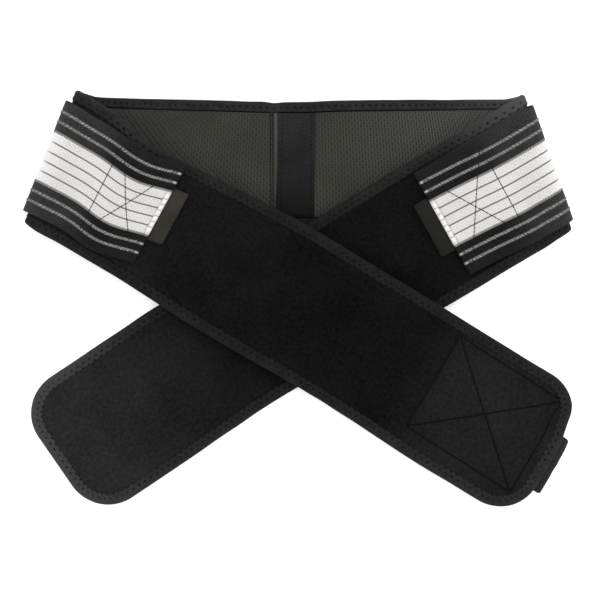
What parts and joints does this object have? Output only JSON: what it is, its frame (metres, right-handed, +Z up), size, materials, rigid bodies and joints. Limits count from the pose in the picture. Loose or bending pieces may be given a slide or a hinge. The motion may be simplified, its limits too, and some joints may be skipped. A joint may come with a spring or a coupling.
{
  "type": "hip support belt",
  "caption": "Padded hip support belt lying folded with its arms crossed: loop-faced band, mesh lining, bound edge, striped elastic side straps and hook-fastened ends.",
  "frame": {"origin": "under the middle of the belt's box, on the surface that it lies on", "axes": "+Z up from the surface, +X towards the wearer's-right fold as laid out, +Y towards the back panel"},
  "size_m": [0.3816, 0.2888, 0.0305],
  "materials": {
    "loop_fabric": "matte napped loop face",
    "air_mesh": "olive-grey air mesh with small staggered holes",
    "binding_tape": "matte folded tape with two stitch rows",
    "ribbed_tape": "fine cross-ribbed tape",
    "striped_elastic": "knitted elastic, white with black and dotted stripes",
    "tab_webbing": "folded woven tab",
    "hook_fastener": "fine plastic hooks on a woven ground"
  },
  "bodies": {
    "root": {"band_left": "loop_fabric", "band_right": "loop_fabric", "lining_left": "air_mesh", "lining_right": "air_mesh", "edge_binding": "binding_tape", "center_tape": "ribbed_tape", "elastic_strap_left": "striped_elastic", "elastic_strap_right": "striped_elastic", "strap_hook_patch_left": "hook_fastener", "strap_hook_patch_right": "hook_fastener", "pull_tab_left": "tab_webbing", "pull_tab_right": "tab_webbing", "end_hook_patch": "hook_fastener", "end_pull_tab": "binding_tape"}
  },
  "joints": []
}
